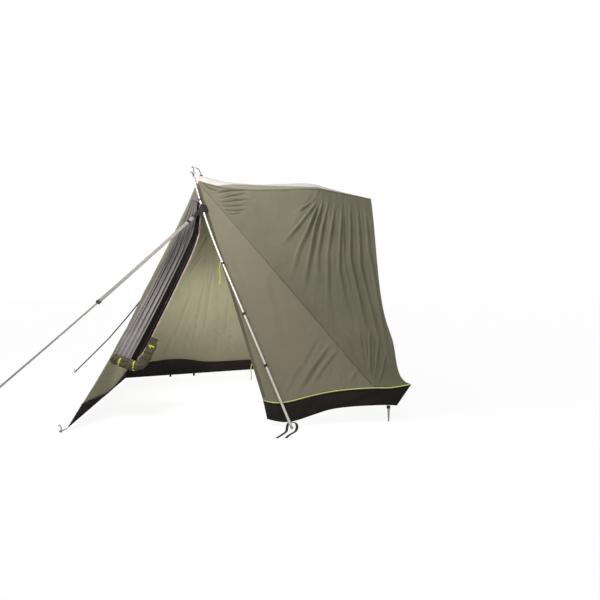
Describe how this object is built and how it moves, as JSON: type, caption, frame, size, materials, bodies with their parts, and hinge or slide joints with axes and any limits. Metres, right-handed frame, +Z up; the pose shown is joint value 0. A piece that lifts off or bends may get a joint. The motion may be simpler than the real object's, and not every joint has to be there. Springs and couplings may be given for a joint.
{
  "type": "drive-away van awning",
  "caption": "Tent for a van tailgate: two-legged pole frame, pale roof, olive walls with dark skirts, a leaning front panel on pegs and a tied-open door.",
  "frame": {"origin": "on the ground, at the middle of the base of the part's box, measured without the guys", "axes": "+X towards the van, -Y the side with the open door, +Z up; X is the longest extent"},
  "size_m": [3.2763, 2.7284, 2.1773],
  "materials": {
    "wall_cloth": "olive-grey polyester, plain weave, matt",
    "lining_cloth": "khaki polyester, plain weave, matt",
    "roof_cloth": "pale beige coated polyester, matt",
    "skirt_cloth": "black PVC-coated skirt cloth, low sheen",
    "mesh_cloth": "fine grey insect mesh, gathered",
    "cover_cloth": "dark olive door cloth, rolled",
    "lime_cord": "lime green cord",
    "webbing": "light grey webbing",
    "dark_webbing": "dark grey webbing and cloth, matt",
    "steel": "zinc-plated steel, satin",
    "dark_steel": "dark plated wire",
    "black_plastic": "black nylon, slightly glossy"
  },
  "bodies": {
    "tent": {"near_wall_front": "wall_cloth", "near_wall_rear": "wall_cloth", "far_wall_front": "wall_cloth", "far_wall_rear": "wall_cloth", "roof": "roof_cloth", "front_panel": "lining_cloth", "far_door_panel": "lining_cloth", "near_skirt": "skirt_cloth", "far_skirt": "skirt_cloth", "front_skirt": "skirt_cloth", "far_door_skirt": "skirt_cloth", "near_piping": "lime_cord", "far_piping": "lime_cord", "near_pole": "steel", "near_top_pole": "steel", "near_guy_peg": "steel", "near_collar": "black_plastic", "near_buckle": "black_plastic", "near_guy_slider": "black_plastic", "near_top_hook": "dark_steel", "near_guy_patch": "dark_webbing", "near_foot_strap": "dark_webbing", "near_hem_tab": "dark_webbing", "near_front_loop": "dark_webbing", "near_guy_strap": "webbing", "far_pole": "steel", "far_top_pole": "steel", "far_guy_peg": "steel", "far_collar": "black_plastic", "far_buckle": "black_plastic", "far_guy_slider": "black_plastic", "far_top_hook": "dark_steel", "far_guy_patch": "dark_webbing", "far_foot_strap": "dark_webbing", "far_hem_tab": "dark_webbing", "far_front_loop": "dark_webbing", "far_guy_strap": "webbing", "ridge_hook": "dark_steel"},
    "near_door": {"near_door_mesh": "mesh_cloth", "near_door_zip": "dark_webbing", "rolled_cover": "cover_cloth", "roll_tie_1": "lime_cord", "roll_tie_2": "lime_cord", "roll_tie_3": "lime_cord"},
    "zip_slider": {"zip_slider": "black_plastic"},
    "zip_puller": {"zip_puller": "steel"},
    "tie_back_upper": {"tie_back_upper": "lime_cord"},
    "tie_back_lower": {"tie_back_lower": "lime_cord"},
    "near_ladder_lock": {"near_ladder_lock": "black_plastic"},
    "near_hem_peg": {"near_hem_peg": "steel"},
    "near_front_peg": {"near_front_peg": "steel"},
    "near_clip_1": {"near_clip_1": "black_plastic"},
    "near_clip_2": {"near_clip_2": "black_plastic"},
    "near_clip_3": {"near_clip_3": "black_plastic"},
    "far_ladder_lock": {"far_ladder_lock": "black_plastic"},
    "far_hem_peg": {"far_hem_peg": "steel"},
    "far_front_peg": {"far_front_peg": "steel"},
    "far_clip_1": {"far_clip_1": "black_plastic"},
    "far_clip_2": {"far_clip_2": "black_plastic"},
    "far_clip_3": {"far_clip_3": "black_plastic"}
  },
  "joints": [
    {"name": "near_door_swing", "type": "hinge", "parent": "tent", "child": "near_door", "pos_m": [-0.71844, -0.27828, 1.17396], "axis": [0.359, 0.3423, 0.8683], "range_deg": [0, 25]},
    {"name": "zip_slider_run", "type": "slide", "parent": "near_door", "child": "zip_slider", "axis": [0.3632, 0.369, 0.8555], "range_m": [-0.03, 0.06]},
    {"name": "zip_puller_flip", "type": "hinge", "parent": "zip_slider", "child": "zip_puller", "pos_m": [-0.63195, -0.42259, 0.91331], "axis": [-0.9277, 0.228, 0.2955], "range_deg": [0, 85]},
    {"name": "tie_back_upper_swing", "type": "hinge", "parent": "tent", "child": "tie_back_upper", "pos_m": [-0.18941, -0.285, 1.262], "axis": [1, 0, 0], "range_deg": [-35, 35]},
    {"name": "tie_back_lower_swing", "type": "hinge", "parent": "tent", "child": "tie_back_lower", "pos_m": [0.06819, -0.75909, 0.432], "axis": [1, 0, 0], "range_deg": [-35, 35]},
    {"name": "near_ladder_lock_run", "type": "slide", "parent": "tent", "child": "near_ladder_lock", "axis": [-0.5894, -0.4564, -0.6665], "range_m": [-0.03, 0.25]},
    {"name": "near_clip_1_turn", "type": "hinge", "parent": "tent", "child": "near_clip_1", "pos_m": [-0.16684, -0.35072, 1.24], "axis": [-0.3426, 0.469, 0.8141], "range_deg": [-15, 15]},
    {"name": "near_clip_2_turn", "type": "hinge", "parent": "tent", "child": "near_clip_2", "pos_m": [0.01199, -0.59554, 0.81501], "axis": [-0.3426, 0.469, 0.8141], "range_deg": [-15, 15]},
    {"name": "near_clip_3_turn", "type": "hinge", "parent": "tent", "child": "near_clip_3", "pos_m": [0.17568, -0.81964, 0.426], "axis": [-0.3426, 0.469, 0.8141], "range_deg": [-15, 15]},
    {"name": "near_hem_peg_pull", "type": "slide", "parent": "tent", "child": "near_hem_peg", "axis": [0, 0, 1], "range_m": [0, 0.08]},
    {"name": "near_front_peg_pull", "type": "slide", "parent": "tent", "child": "near_front_peg", "axis": [0, 0, 1], "range_m": [0, 0.05]},
    {"name": "far_ladder_lock_run", "type": "slide", "parent": "tent", "child": "far_ladder_lock", "axis": [-0.5558, 0.4304, -0.7112], "range_m": [-0.03, 0.25]},
    {"name": "far_clip_1_turn", "type": "hinge", "parent": "tent", "child": "far_clip_1", "pos_m": [-0.16684, 0.35072, 1.24], "axis": [-0.3426, -0.469, 0.8141], "range_deg": [-15, 15]},
    {"name": "far_clip_2_turn", "type": "hinge", "parent": "tent", "child": "far_clip_2", "pos_m": [0.01199, 0.59554, 0.81501], "axis": [-0.3426, -0.469, 0.8141], "range_deg": [-15, 15]},
    {"name": "far_clip_3_turn", "type": "hinge", "parent": "tent", "child": "far_clip_3", "pos_m": [0.17568, 0.81964, 0.426], "axis": [-0.3426, -0.469, 0.8141], "range_deg": [-15, 15]},
    {"name": "far_hem_peg_pull", "type": "slide", "parent": "tent", "child": "far_hem_peg", "axis": [0, 0, 1], "range_m": [0, 0.08]},
    {"name": "far_front_peg_pull", "type": "slide", "parent": "tent", "child": "far_front_peg", "axis": [0, 0, 1], "range_m": [0, 0.05]}
  ]
}
